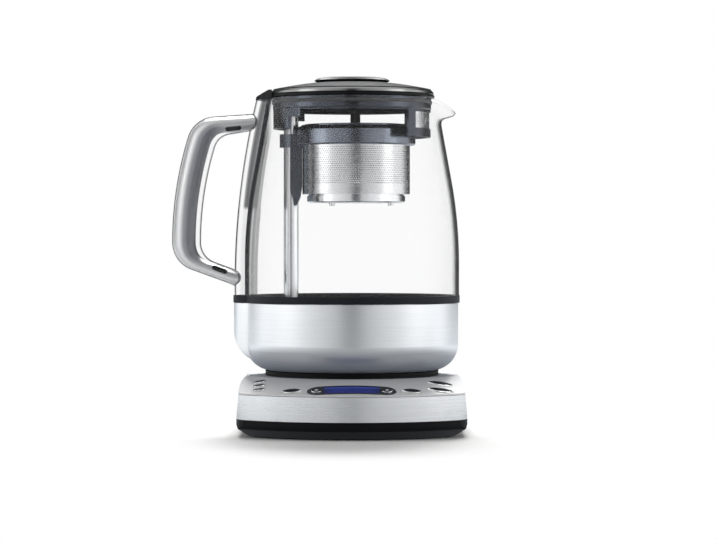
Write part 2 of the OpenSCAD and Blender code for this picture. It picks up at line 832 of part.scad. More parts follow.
module basket_shoe() {
    post_r = post_d / 2 + shoe_gap;
    z0 = rim_low - 1.7;
    color([0.3, 0.32, 0.36]) difference() {
        rotate([90, 0, 0]) linear_extrude(14.4, center = true)
            polygon([[-44.7, z0], [-36.2, z0], [-36.2, 177], [-37.4, 170], [-40, 163.6],
                [-42.2, 169], [-44.7, 174]]);
        translate([-post_x, 0, 150]) cylinder(r = post_r, h = 70);
        translate([basket_x, 0, 150]) cylinder(r = mesh_r + 0.1, h = 70);
        magnet_pocket(0.1);
    }
}
module magnet_pocket(d) {
    translate([-37.35, 0, 190]) cube([1.4 + 2 * d, 8 + 2 * d, 16 + 2 * d], center = true);
}

module basket_magnet() {
    color([0.45, 0.45, 0.47]) magnet_pocket(0);
}

module basket_mesh() {
    pitch = (rim_low - 6 - mesh_low - 8) / (hole_rows - 1);
    color([0.78, 0.79, 0.8]) translate([basket_x, 0, 0]) difference() {
        translate([0, 0, mesh_low]) cylinder(r = mesh_r, h = rim_low + 5.6 - mesh_low);
        translate([0, 0, mesh_low - 1]) cylinder(r = mesh_r - mesh_t, h = rim_low + 8 - mesh_low);
        for (row = [0 : hole_rows - 1], i = [0 : hole_count - 1])
            rotate([0, 0, (i + (row % 2) / 2) * 360 / hole_count])
                translate([mesh_r - 3, 0, mesh_low + 9 + row * pitch]) rotate([0, 90, 0])
                    cylinder(d = hole_d, h = 6);
    }
}

module basket_floor() {
    r = 35.5;
    color([0.72, 0.73, 0.74]) translate([basket_x, 0, 0]) {
        difference() {
            rotate_extrude() polygon([[0, 165.2], [12, 165.8], [r - 0.8, 165.8], [r, 166.6],
                [r, 170.7], [r - 1, 170.7], [r - 1, 172], [mesh_r - mesh_t - 0.1, 172],
                [mesh_r - mesh_t - 0.1, 174], [r - 2.4, 174], [r - 2.4, 167.4], [0, 167.4]]);
            for (a = [0 : 45 : 315], x = [10, 19, 28]) rotate([0, 0, a + x]) translate([x, 0, 160])
                cylinder(d = hole_d, h = 20);
        }
        for (a = [35, 125, 235, 325]) rotate([0, 0, a]) translate([30.5, 0, 163.8])
            cylinder(d = 3.6, h = 2.2);
    }
}

module basket_lid() {
    color([0.3, 0.32, 0.36]) translate([basket_x, 0, 0]) difference() {
        rotate_extrude() polygon([[0, rim_top - 3.2], [mesh_r - 4.2, rim_top - 3.2],
            [mesh_r - 4.2, rim_top + 0.4], [mesh_r + 0.6, rim_top + 0.4], [mesh_r + 0.6, rim_top + 1],
            [mesh_r - 2, rim_top + 1.6], [0, rim_top + 1.9]]);
        translate([0, 0, rim_top - 5]) cylinder(d = 4.2, h = 10);
    }
}

module basket_knob() {
    z0 = rim_top + 1.95;
    color([0.05, 0.05, 0.06]) translate([basket_x - 0.6, 0, 0]) rotate_extrude()
        polygon([[0, z0], [3.6, z0], [3.6, 230.2], [2.8, 231], [0, 231]]);
}

// ---- lid ----
module bracket(half_a, z0, z1, r0, r1) {
    intersection() {
        rotate_extrude() translate([r0, z0]) square([r1 - r0, z1 - z0]);
        linear_extrude(300) polygon([[0, 0], [100, -100 * tan(half_a)], [100, 100 * tan(half_a)]]);
    }
}

module lid_skirt() {
    z_top = rim_z + 0.2;
    color([0.35, 0.37, 0.41]) difference() {
        union() {
            rotate_extrude() polygon([[0, z_top - 1.8], [bracket_r - 0.6, z_top - 1.8],
                [bracket_r - 0.6, skirt_low], [skirt_r - 0.6, skirt_low],
                [skirt_r, skirt_low + 1.5], [skirt_r, z_top], [0, z_top]]);
            bracket(45, bracket_low, skirt_low + 3, bracket_r, skirt_r - 0.3);
            mirror([1, 0, 0]) bracket(34, bracket_low + 6, skirt_low + 3, bracket_r, skirt_r - 0.3);
            mirror([1, 0, 0]) bracket(50, bracket_low + 13.6, skirt_low + 3, bracket_r,
                skirt_r - 0.3);
        }
        // window for the strainer towards the spout
        bracket(37, bracket_low + 6, skirt_low - 1, bracket_r - 5, skirt_r + 5);
        // groove for the seal
        rotate_extrude() translate([skirt_r - 1.4, rim_z - 4]) square([3, 2.4]);
    }
}

module lid_seal() {
    color([0.25, 0.26, 0.28]) rotate_extrude() translate([skirt_r - 1.3, rim_z - 3.9])
        square([2, 2.2]);
}

module spout_strainer() {
    z0 = bracket_low + 6.1;
    h = skirt_low - 1.1 - z0;
    color([0.8, 0.81, 0.82]) difference() {
        bracket(36.8, z0, z0 + h, bracket_r + 0.8, bracket_r + 1.4);
        for (row = [0 : 2], i = [-5 : 5]) rotate([0, 0, i * 6 + (row % 2) * 3 - 1.5])
            translate([bracket_r - 5, 0, z0 + h / 2 + (row - 1) * 3.6]) rotate([0, 90, 0])
                cylinder(d = 2.2, h = 15);
    }
}

module lid_rim() {
    z0 = rim_z + seat_gap;
    z1 = cover_low - 0.2;
    color([0.05, 0.05, 0.06]) rotate_extrude() polygon([[0, z0], [lid_r - 0.6, z0],
        [lid_r, z0 + 0.6], [lid_r, z1 - 0.5], [lid_r - 0.5, z1], [0, z1]]);
}

module lid_cover() {
    r = lid_r - 2.6;
    h = 6.2;
    dome_r = (r * r + h * h) / (2 * h);
    color([0.74, 0.75, 0.77]) difference() {
        union() {
            intersection() {
                translate([0, 0, lid_rim_z + h - dome_r + 0.6]) sphere(dome_r, $fn = 200);
                translate([0, 0, lid_rim_z - 0.1]) cylinder(r = r, h = 20);
            }
            rotate_extrude() polygon([[0, cover_low], [lid_r - 0.8, cover_low],
                [lid_r - 0.3, cover_low + 0.5], [lid_r - 0.9, cover_low + 2],
                [r + 0.3, lid_rim_z], [0, lid_rim_z]]);
        }
        // hollow under the sheet
        rotate_extrude() polygon([[0, cover_low - 1], [r - 1.2, cover_low - 1],
            [r - 1.2, lid_rim_z - 0.6], [knob_r - 5, lid_rim_z + 3.4], [0, lid_rim_z + 3.4]]);
        translate([0, 0, lid_rim_z + 4.8]) cylinder(r = knob_r - 6, h = 10);
    }
}

module lid_knob() {
    z0 = lid_rim_z + 4.9;
    color([0.12, 0.12, 0.13]) rotate_extrude() {
        polygon([[0, z0], [knob_r - 6.1, z0], [knob_r - 6.1, knob_z - 3.1], [knob_r - 1, knob_z - 3.1],
            [knob_r, knob_z - 2.4], [knob_r - 2, knob_z - 1], [knob_r - 6, knob_z - 0.2],
            [0, knob_z]]);
    }
}

foot_ring();
base_shell();
base_screws();
base_band();
top_plate();
power_connector();
power_contacts();
cord_gland();
control_board();
display_module();
display_bezel();
display_window();
arrow_left();
arrow_right();
small_button_rear();
small_button_middle();
small_button_front();
select_button_left();
select_button_right();
start_button_rear();
start_button_front();
jug_foot();
foot_screws();
steel_bowl();
heater_plate();
heating_element();
jug_connector();
seam_gasket();
glass_jug();
spine();
spine_cap();
handle_shell();
handle_core();
guide_post();
lift_motor();
lift_screw();
magnet_carriage();
basket_rim();
basket_shoe();
basket_magnet();
basket_mesh();
basket_floor();
basket_lid();
basket_knob();
lid_skirt();
lid_seal();
spout_strainer();
lid_rim();
lid_cover();
lid_knob();
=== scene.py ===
import math

import bmesh
import bpy
from mathutils import Matrix, Vector


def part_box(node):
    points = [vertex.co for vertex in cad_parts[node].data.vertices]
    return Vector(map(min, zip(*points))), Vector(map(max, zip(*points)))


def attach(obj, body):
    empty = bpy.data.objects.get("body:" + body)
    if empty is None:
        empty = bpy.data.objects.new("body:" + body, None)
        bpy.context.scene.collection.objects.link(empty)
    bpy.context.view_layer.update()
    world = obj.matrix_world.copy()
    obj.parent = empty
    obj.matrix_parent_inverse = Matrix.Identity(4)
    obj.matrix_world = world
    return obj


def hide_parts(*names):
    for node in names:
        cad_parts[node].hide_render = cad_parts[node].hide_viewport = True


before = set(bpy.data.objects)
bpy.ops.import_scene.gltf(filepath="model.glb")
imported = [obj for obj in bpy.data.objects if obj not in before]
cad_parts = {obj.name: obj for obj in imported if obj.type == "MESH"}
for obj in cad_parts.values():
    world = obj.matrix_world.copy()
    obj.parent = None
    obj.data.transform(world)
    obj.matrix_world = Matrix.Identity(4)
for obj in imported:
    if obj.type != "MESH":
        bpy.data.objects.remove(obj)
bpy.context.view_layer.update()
mm = 0.001


# one output socket of a node tree, so that sums of noises and masks read as plain expressions
class Shade:
    def __init__(self, tree, socket):
        self.tree = tree
        self.socket = socket

    def maths(self, operation, *values):
        return addNode(self.tree, "ShaderNodeMath", {"operation": operation},
                       dict(enumerate(values)))

    def __add__(self, other):
        return self.maths("ADD", self, other)

    def __radd__(self, other):
        return self.maths("ADD", other, self)

    def __sub__(self, other):
        return self.maths("SUBTRACT", self, other)

    def __rsub__(self, other):
        return self.maths("SUBTRACT", other, self)

    def __mul__(self, other):
        return self.maths("MULTIPLY", self, other)

    def __rmul__(self, other):
        return self.maths("MULTIPLY", other, self)

    def __truediv__(self, other):
        return self.maths("DIVIDE", self, other)

    def __pow__(self, other):
        return self.maths("POWER", self, other)

    # 0 below low, 1 above high, smooth between them
    def ramp(self, low, high):
        return addNode(self.tree, "ShaderNodeMapRange", {"interpolation_type": "SMOOTHSTEP"},
                       {"Value": self, "From Min": low, "From Max": high})


def addNode(tree, kind, settings, values, output=0):
    node = tree.nodes.new(kind)
    for key, setting in settings.items():
        setattr(node, key, setting)
    for key, value in values.items():
        if isinstance(value, Shade):
            tree.links.new(value.socket, node.inputs[key])
        else:
            node.inputs[key].default_value = value
    return Shade(tree, node.outputs[output]) if len(node.outputs) else None


# a material under construction; place holds the piece's own coordinates in metres
class Finish:
    def __init__(self, name):
        self.material = bpy.data.materials.new(name)
        self.material.use_nodes = True
        self.tree = self.material.node_tree
        self.tree.nodes.clear()
        self.place = self.node("ShaderNodeTexCoord", output="Object")

    def node(self, kind, settings={}, values={}, output=0):
        return addNode(self.tree, kind, settings, values, output)

    def maths(self, operation, *values):
        return self.node("ShaderNodeMath", {"operation": operation}, dict(enumerate(values)))

    def axis(self, name):
        return self.node("ShaderNodeSeparateXYZ", values={"Vector": self.place}, output=name)

    def vector(self, x, y, z):
        return self.node("ShaderNodeCombineXYZ", values={0: x, 1: y, 2: z})

    def noise(self, stretch, detail=3, where=None, roughness=0.55):
        spread = self.node("ShaderNodeVectorMath", {"operation": "MULTIPLY"},
                           {0: where or self.place, 1: stretch})
        return self.node("ShaderNodeTexNoise", {},
                         {"Vector": spread, "Scale": 1, "Detail": detail, "Roughness": roughness})

    def blend(self, factor, first, second):
        return self.node("ShaderNodeMix", {"data_type": "RGBA"},
                         {0: factor, 6: first, 7: second}, 2)

    def bump(self, height, depth, strength=1):
        return self.node("ShaderNodeBump", {}, {"Height": height, "Distance": depth * mm,
                                                "Strength": strength})

    def facing(self, blend=0.5):
        return self.node("ShaderNodeLayerWeight", {}, {"Blend": blend}, "Facing")

    def done(self, **sockets):
        values = {key.replace("_", " "): value for key, value in sockets.items()}
        shader = self.node("ShaderNodeBsdfPrincipled", {}, values)
        self.node("ShaderNodeOutputMaterial", values={"Surface": shader})
        return self.material

    # mixes a plain see-through surface with a shiny one that grows towards the rim
    def doneClear(self, factor, **sockets):
        values = {key.replace("_", " "): value for key, value in sockets.items()}
        shader = self.node("ShaderNodeBsdfPrincipled", {}, values)
        through = self.node("ShaderNodeBsdfTransparent")
        mixed = self.node("ShaderNodeMixShader", {}, {0: factor, 1: through, 2: shader})
        self.node("ShaderNodeOutputMaterial", values={"Surface": mixed})
        return self.material


def grey(value, warm=0.0):
    return (value * (1 + warm), value, value * (1 - warm), 1)


# brushed steel; the brushing runs along X, round the upright axis or in rings on a flat top, and
# low is the height in mm below which a painted dark reflection darkens the under-curve
def brushedSteel(name, run="along", tone=0.62, rough=0.27, centre=(0, 0), low=0, metal=1.0):
    finish = Finish(name)
    x = finish.axis("X") - centre[0] * mm
    y = finish.axis("Y") - centre[1] * mm
    z = finish.axis("Z")
    if run == "along":
        where = finish.vector(x * 16, y * 1700, z * 16)
    elif run == "round":
        where = finish.vector(x * 12, y * 12, z * 2300)
    else:
        ring = (x * x + y * y) ** 0.5
        where = finish.vector(x * 14, y * 14, ring * 2400)
    streak = finish.noise((1, 1, 1), 4, where, 0.7)
    cloud = finish.noise((26, 26, 26), 2)
    smudge = cloud.ramp(0.35, 0.7)
    shade = streak.ramp(0.25, 0.75) * 0.5 + cloud * 0.5
    colour = finish.blend(shade, grey(tone * 0.86, -0.015), grey(tone * 1.08, -0.005))
    if low:
        # painted dark reflection: below low the steel is coloured darker and bluer, as if it
        # mirrored the dark base
        paintedUnderShade = (z * 1000).ramp(low, low + 14)
        colour = finish.blend(paintedUnderShade, (0.46, 0.49, 0.54, 1), colour)
        rough = rough + (1 - paintedUnderShade) * 0.35
    rough = rough - 0.05 + streak * 0.14 + smudge * 0.03
    return finish.done(Base_Color=colour, Metallic=metal, Roughness=rough,
                       Normal=finish.bump(streak, 0.03, 0.4))


def polishedSteel(name, tone=0.75, rough=0.12):
    finish = Finish(name)
    swirl = finish.noise((240, 240, 240), 3)
    colour = finish.blend(swirl, grey(tone * 0.93, -0.01), grey(tone * 1.04))
    return finish.done(Base_Color=colour, Metallic=1.0,
                       Roughness=rough + swirl.ramp(0.3, 0.8) * 0.08,
                       Normal=finish.bump(swirl, 0.02, 0.3))


def mouldedPlastic(name, colour, rough=0.35, grain=0.02, coat=0.0, lift=1.25):
    finish = Finish(name)
    fine = finish.noise((2600, 2600, 2600), 2)
    broad = finish.noise((45, 45, 45), 3)
    light = tuple(min(1, c * lift) for c in colour[:3]) + (1,)
    return finish.done(Base_Color=finish.blend(broad.ramp(0.3, 0.75), colour, light),
                       Roughness=rough - 0.04 + broad * 0.08 + fine * 0.05, Coat_Weight=coat,
                       Coat_Roughness=0.12, Specular_IOR_Level=0.12,
                       Normal=finish.bump(fine, grain, 0.5))


def rubberFinish(name, tone=0.025):
    finish = Finish(name)
    fine = finish.noise((1800, 1800, 1800), 3)
    dust = finish.noise((70, 70, 70), 4).ramp(0.45, 0.8)
    return finish.done(Base_Color=finish.blend(dust, grey(tone), grey(tone * 1.9, 0.02)),
                       Roughness=0.62 + fine * 0.15, Normal=finish.bump(fine, 0.05, 0.6))


# side view of the clear column: an arc round centre and height, with a round lobe outside; each
# painted refraction streak is its start and stop in mm behind the outer face, and how dark it is
spineShape = {"centre": 486.8, "height": 107, "middle": 552, "lobe": 20,
              "upperFrom": 160, "upperTo": 164, "softEdge": 0.45, "wobble": 0.8,
              "guide": ((4.2, 7.8, 0.62), (7.8, 9.4, 0.36), (9.4, 11, 0.5), (11, 12.2, 0.42),
                        (12.2, 15, 0.58)),
              "below": ((-1, 0.6, 0.3), (9.2, 11.2, 0.4), (13, 15.4, 0.55)), "guideBelow": 0.12}


# upright painted refraction streaks that follow the column's outer curve: how strongly the painted
# image of dark parts inside shows
def paintedColumnStreaks(finish):
    x = finish.axis("X") * 1000 - spineShape["centre"]
    z = finish.axis("Z") * 1000
    rise = z - spineShape["height"]
    depth = spineShape["middle"] + spineShape["lobe"] - (x * x + rise * rise) ** 0.5
    grain = finish.noise((1, 1, 1), 3, finish.vector(depth * 2.2, 0, z * 0.012), 0.6)
    edge = depth + (grain - 0.5) * spineShape["wobble"]
    soft = spineShape["softEdge"]

    def stripes(rows):
        total = 0
        for start, stop, share in rows:
            begun = edge.ramp(start - soft, start + soft)
            total = total + begun * (1 - edge.ramp(stop - soft, stop + soft)) * share
        return total

    upper = z.ramp(spineShape["upperFrom"], spineShape["upperTo"])
    dark = stripes(spineShape["guide"])
    faint = stripes(spineShape["below"]) + dark * spineShape["guideBelow"]
    return dark * upper + faint * (1 - upper), grain


def columnFinish(name):
    finish = Finish(name)
    # cover carries the painted refraction streaks, on top of the dark edge-on line
    cover, grain = paintedColumnStreaks(finish)
    outline = finish.facing(0.5).ramp(0.6, 0.8)
    cover = finish.maths("MINIMUM", cover + outline * 0.62 + 0.04, 0.9)
    colour = finish.blend(grain, (0.05, 0.056, 0.066, 1), (0.085, 0.09, 0.1, 1))
    return finish.doneClear(cover, Base_Color=colour, Roughness=0.12 + grain * 0.08,
                            Specular_IOR_Level=0.1, Normal=finish.bump(grain, 0.1, 0.2))


# see-through wall: nearly nothing face on, and a dark line where it is seen edge on; striped adds
# the column's painted refraction streaks to the jug near its column
def clearWall(name, tint=0.17, face=0.03, start=0.66, full=0.8, line=0.85, striped=0):
    finish = Finish(name)
    facing = finish.facing(0.5)
    wave = finish.noise((22, 22, 9), 2)
    outline = facing.ramp(start, full)
    # painted sheen: a whitish cover that grows at grazing angles in place of a reflection
    paintedSheen = facing ** 3 * 0.22
    cover = (face + paintedSheen) * (1 - outline) + outline * line
    dark = outline
    if striped:
        # painted refraction streaks from the column, laid on the jug glass next to it
        nearColumn = 1 - (finish.axis("X") * 1000).ramp(-62, -58)
        stripes = paintedColumnStreaks(finish)[0] * nearColumn * striped
        cover = finish.maths("MAXIMUM", cover, stripes)
        dark = finish.maths("MAXIMUM", dark, stripes.ramp(0.02, 0.2))
    colour = finish.blend(dark, grey(0.85, -0.01), grey(tint, -0.04))
    return finish.doneClear(cover, Base_Color=colour, Roughness=wave * 0.06 + 0.02,
                            Specular_IOR_Level=0.04, Normal=finish.bump(wave, 0.4, 0.15))


# smoke-grey gloss plastic of the skirt and the basket
def smokePlastic(name, colour, rough=0.2):
    finish = Finish(name)
    broad = finish.noise((38, 38, 38), 3)
    fine = finish.noise((1900, 1900, 1900), 2)
    light = tuple(c * 1.25 for c in colour[:3]) + (1,)
    return finish.done(Base_Color=finish.blend(broad.ramp(0.3, 0.75), colour, light), Metallic=0.92,
                       Roughness=rough - 0.03 + broad * 0.06 + fine * 0.03,
                       Normal=finish.bump(broad, 0.05, 0.1))


# lid cover: bright rolled edge below, dark dome with turned rings above
def coverFinish(name, edgeTop):
    finish = Finish(name)
    x = finish.axis("X")
    y = finish.axis("Y")
    z = finish.axis("Z") * 1000
    ring = (x * x + y * y) ** 0.5
    turnedLines = finish.noise((1, 1, 1), 3, finish.vector(x * 12, y * 12, ring * 2400), 0.7)
    dome = z.ramp(edgeTop - 0.25, edgeTop + 0.15)
    dark = finish.blend(turnedLines, (0.016, 0.017, 0.019, 1), (0.03, 0.032, 0.035, 1))
    bright = finish.blend(turnedLines, grey(0.3), grey(0.4))
    return finish.done(Base_Color=finish.blend(dome, bright, dark), Metallic=1.0 - dome,
                       Roughness=0.16 + dome * 0.16 + turnedLines * 0.06,
                       Specular_IOR_Level=0.02, Normal=finish.bump(turnedLines, 0.02, 0.4))


# metal core of the handle, with painted light and shade across its round section: a painted gleam
# outside, painted shade towards the fingers, after the attributes across and along that its mesh
# carries
def handleFinish(name):
    finish = Finish(name)
    across = finish.node("ShaderNodeAttribute", {"attribute_name": "across"}, output="Fac")
    along = finish.node("ShaderNodeAttribute", {"attribute_name": "along"}, output="Fac")
    satin = finish.noise((1, 1, 1), 3, finish.vector(across * 9, along * 3, 0.5), 0.6)
    inward = 0 - across
    grip = along.ramp(0.13, 0.24) * (1 - along.ramp(0.8, 0.92))
    # painted highlight along the outer side of the round bar
    paintedGleam = inward.ramp(-0.75, -0.35) * (1 - inward.ramp(-0.3, 0.05))
    light = finish.blend(paintedGleam, grey(0.60, -0.015), grey(0.92, -0.005))
    # painted shade that deepens towards the finger side
    half = finish.blend(inward.ramp(-0.3, 0.1), light, (0.34, 0.36, 0.4, 1))
    paintedInnerShade = finish.blend(inward.ramp(0.3, 0.7), (0.12, 0.135, 0.165, 1), (0.22, 0.23, 0.26, 1))
    dark = finish.blend(inward.ramp(0.05, 0.3), half, paintedInnerShade)
    # painted dark line along the finger edge
    rim = inward.ramp(0.82, 0.96)
    edge = finish.blend(rim, dark, (0.05, 0.055, 0.065, 1))
    # on the arms the same painted light, with painted shade towards the inside
    arm = finish.blend(inward.ramp(0.1, 0.6), light, grey(0.42, -0.02))
    colour = finish.blend(grip, arm, edge)
    return finish.done(Base_Color=finish.blend(satin * 0.25, colour, grey(0.7)), Metallic=0.35,
                       Roughness=0.34 + satin * 0.1)


def rawMetal(name, colour, rough=0.35):
    finish = Finish(name)
    stain = finish.noise((300, 300, 300), 4)
    dark = tuple(c * 0.7 for c in colour[:3]) + (1,)
    return finish.done(Base_Color=finish.blend(stain.ramp(0.3, 0.75), dark, colour), Metallic=1.0,
                       Roughness=rough + stain * 0.15, Normal=finish.bump(stain, 0.03, 0.4))


def boardFinish(name):
    finish = Finish(name)
    cells = finish.node("ShaderNodeTexVoronoi", {"distance": "CHEBYCHEV"},
                        {"Vector": finish.place, "Scale": 420})
    tracks = cells.ramp(0.3, 0.34)
    colour = finish.blend(tracks, (0.012, 0.10, 0.045, 1), (0.03, 0.22, 0.09, 1))
    return finish.done(Base_Color=colour, Roughness=0.4 + tracks * 0.1,
                       Normal=finish.bump(tracks, 0.04))


def displayFinish(name, middle):
    finish = Finish(name)
    across = finish.axis("X") * 1000
    down = finish.axis("Y") * 1000 - middle
    glow = 1 - ((across * across) / 420).ramp(0.3, 1.0)
    # painted highlight: a lighter stripe across the window 4 mm behind its middle, which also glows
    # with the rest
    paintedHighlightBand = 1 - ((down - 4) * (down - 4) / 2.4).ramp(0.2, 1.0)
    deep = finish.blend(glow, (0.012, 0.016, 0.06, 1), (0.016, 0.026, 0.15, 1))
    colour = finish.blend(paintedHighlightBand * 0.45, deep, (0.06, 0.09, 0.38, 1))
    return finish.done(Base_Color=colour, Roughness=0.2 + paintedHighlightBand * 0.05, Emission_Color=colour,
                       Emission_Strength=0.5, Specular_IOR_Level=0.1)


print("finishes ready")


def piece(name, bm, materials, body, smooth=40):
    mesh = bpy.data.meshes.new(name)
    bm.to_mesh(mesh)
    bm.free()
    item = bpy.data.objects.new(name, mesh)
    bpy.context.scene.collection.objects.link(item)
    for material in materials:
        mesh.materials.append(material)
    mesh.shade_smooth()
    if smooth < 180:
        mesh.set_sharp_from_angle(angle=math.radians(smooth))
    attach(item, body)
    return item


def arc(cx, cz, radius, start, end, count):
    angles = [math.radians(start + (end - start) * i / count) for i in range(count + 1)]
    return [(cx + radius * math.cos(a), cz + radius * math.sin(a)) for a in angles]


def vertsOf(geometry):
    return [g for g in geometry if isinstance(g, bmesh.types.BMVert)]


# a flat face pulled out into a block; gives back its new cap
def pulledOut(bm, face, way):
    grown = bmesh.ops.extrude_face_region(bm, geom=[face])["geom"]
    bmesh.ops.translate(bm, verts=vertsOf(grown), vec=way)
    return next(g for g in grown if isinstance(g, bmesh.types.BMFace))


# turns a closed outline of (radius, height) points round an upright axis
def turned(outline, steps, centre=0.0):
    bm = bmesh.new()
    verts = [bm.verts.new(((centre + r) * mm, 0, z * mm)) for r, z in outline]
    edges = [bm.edges.new((verts[i], verts[(i + 1) % len(verts)])) for i in range(len(verts))]
    bmesh.ops.spin(bm, geom=verts + edges, cent=(centre * mm, 0, 0), axis=(0, 0, 1),
                   angle=math.tau, steps=steps, use_merge=True)
    bmesh.ops.remove_doubles(bm, verts=bm.verts, dist=0.002 * mm)
    bmesh.ops.recalc_face_normals(bm, faces=bm.faces)
    return bm


camera = {"x": 4.35, "distance": 2000, "height": 141.46, "tilt": 0.70, "lens": 138.6,
          "sensor": 36}
softboxes = {
    "keyLeft": {"place": (-1.5, -0.5, 0.8), "aim": (0, 0, 0.12), "power": 4.0, "size": (0.8, 1.2)},
    "keyRight": {"place": (1.5, -0.5, 0.8), "aim": (0, 0, 0.12), "power": 4.0, "size": (0.8, 1.2)},
    "top": {"place": (0, 1.3, 1.5), "aim": (0, 0, 0.1), "power": 54.0, "size": (1.3, 0.9)},
}
# what shiny pieces see: gap is the dark strip straight ahead of them, cloth the dark one behind
room = {"plain": 0.32, "white": 1.2, "cloth": 1.17, "clothFrom": 0.35, "clothTo": 0.75,
        "gapFrom": 0.11, "gapTo": 0.22, "gapLevel": 0.06, "front": 0.42, "side": 0.6,
        "farSide": 0.2, "ceiling": 0.3}
floorSheet = {"size": 8.0, "drop": 0.0002, "fadeFrom": 0.17, "fadeTo": 0.28, "sideways": 4,
              "glow": 0.36}


def placeCamera():
    data = bpy.data.cameras.new("view")
    data.lens = camera["lens"]
    data.sensor_width = camera["sensor"]
    item = bpy.data.objects.new("view", data)
    bpy.context.scene.collection.objects.link(item)
    item.location = (camera["x"] * mm, -camera["distance"] * mm, camera["height"] * mm)
    item.rotation_euler = (math.radians(90 - camera["tilt"]), 0, 0)
    bpy.context.scene.camera = item


def softbox(name, place, aim, power, size):
    data = bpy.data.lights.new(name, "AREA")
    data.energy = power
    data.shape = "RECTANGLE"
    data.size = size[0]
    data.size_y = size[1]
    item = bpy.data.objects.new(name, data)
    bpy.context.scene.collection.objects.link(item)
    item.location = place
    item.rotation_euler = (Vector(aim) - Vector(place)).to_track_quat("-Z", "Y").to_euler()


# white studio: plain white behind the object, and for reflections a room that is bright at the
# sides and darker in front, with a narrow dark gap straight ahead and a dark cloth far behind
def buildWorld():
    world = bpy.data.worlds.new("studio")
    bpy.context.scene.world = world
    world.use_nodes = True
    tree = world.node_tree
    tree.nodes.clear()
    direction = addNode(tree, "ShaderNodeTexCoord", {}, {}, "Generated")
    x = addNode(tree, "ShaderNodeSeparateXYZ", {}, {0: direction}, "X")
    y = addNode(tree, "ShaderNodeSeparateXYZ", {}, {0: direction}, "Y")
    z = addNode(tree, "ShaderNodeSeparateXYZ", {}, {0: direction}, "Z")
    seen = addNode(tree, "ShaderNodeLightPath", {}, {}, "Is Camera Ray")
    through = addNode(tree, "ShaderNodeLightPath", {}, {}, "Is Transmission Ray")
    shiny = addNode(tree, "ShaderNodeLightPath", {}, {}, "Is Glossy Ray")
    sideways = (x * x) ** 0.5 / ((x * x + y * y) ** 0.5 + 0.0001)
    gap = sideways.ramp(room["gapFrom"], room["gapTo"])
    wall = sideways * room["side"] + room["front"] + sideways ** 4 * room["farSide"]
    wall = room["gapLevel"] + gap * wall
    ahead = (0 - y).ramp(-0.12, 0.12)
    away = y.ramp(room["clothFrom"], room["clothTo"])
    level = (1 - ahead) * (room["white"] - away * room["cloth"]) + ahead * wall
    level = level * (1 - z.ramp(0.2, 0.75) * room["ceiling"])
    unseen = shiny * level + (1 - shiny) * room["plain"]
    clear = seen.maths("MAXIMUM", seen, through)
    strength = clear + (1 - clear) * unseen
    background = addNode(tree, "ShaderNodeBackground", {},
                         {"Color": (1, 1, 1, 1), "Strength": strength})
    addNode(tree, "ShaderNodeOutputWorld", {}, {"Surface": background})


# pale matt floor that keeps the shadow, fades to plain white far out and stays dark in reflections
def buildFloor():
    bm = bmesh.new()
    bmesh.ops.create_grid(bm, x_segments=2, y_segments=2, size=floorSheet["size"] / 2)
    finish = Finish("paleFloor")
    seen = finish.node("ShaderNodeLightPath", output="Is Camera Ray")
    shiny = finish.node("ShaderNodeLightPath", output="Is Glossy Ray")
    x = finish.axis("X")
    y = finish.axis("Y")
    far = (x * x * floorSheet["sideways"] + y * y) ** 0.5
    far = far.ramp(floorSheet["fadeFrom"], floorSheet["fadeTo"])
    cloud = finish.noise((3, 3, 3), 2)
    pale = finish.blend(cloud, (0.95, 0.945, 0.935, 1), (0.97, 0.965, 0.96, 1))
    matt = finish.node("ShaderNodeBsdfDiffuse", values={"Color": pale})
    white = finish.node("ShaderNodeEmission", values={"Color": (1, 1, 1, 1), "Strength": 1.0})
    lit = finish.node("ShaderNodeMixShader", values={0: seen * far, 1: matt, 2: white})
    reach = (x * x + y * y) ** 0.5
    side = (x * x) ** 0.5 / (reach + 0.0001)
    glow = floorSheet["glow"] + reach.ramp(0.13, 0.8) * (side * 0.5 + 0.2)
    glow = glow + y.ramp(-0.05, 0.3) * 0.3
    dim = finish.node("ShaderNodeEmission", values={"Color": (0.9, 0.95, 1, 1), "Strength": glow})
    mixed = finish.node("ShaderNodeMixShader", values={0: shiny, 1: lit, 2: dim})
    finish.node("ShaderNodeOutputMaterial", values={"Surface": mixed})
    mesh = bpy.data.meshes.new("floor")
    bm.to_mesh(mesh)
    bm.free()
    mesh.materials.append(finish.material)
    item = bpy.data.objects.new("floor", mesh)
    bpy.context.scene.collection.objects.link(item)
    item.location.z = -floorSheet["drop"]


placeCamera()
buildWorld()
buildFloor()
for name, box in softboxes.items():
    softbox(name, **box)
bpy.context.scene.view_settings.view_transform = "Standard"
print("studio ready")


clearGlass = clearWall("jugGlass", tint=0.05, start=0.62, full=0.79, line=0.82, striped=1)
clearInner = clearWall("jugGlassInside", tint=0.08, face=0.01, start=0.8, full=0.95, line=0.45)
clearSpine = columnFinish("spineAcrylic")
clearShell = clearWall("handleAcrylic", tint=0.04, face=0.05, start=0.56, full=0.78, line=0.72)
coverSteel = coverFinish("coverSteel", 246.9)
bandSteel = brushedSteel("bandSteel", "round", 0.96, 0.25, metal=0.85)
bowlSteel = brushedSteel("bowlSteel", "round", 0.86, 0.27, (0, 0), 48)
plateSteel = brushedSteel("panelSteel", "along", 0.78, 0.4, metal=0.1)
floorSteel = brushedSteel("jugFloorSteel", "rings", 0.5, 0.3)
postSteel = brushedSteel("postSteel", "round", 0.84, 0.16, (-44.2, 0))
handleSteel = handleFinish("handleMetal")
meshSteel = polishedSteel("meshSteel", 0.74, 0.22)
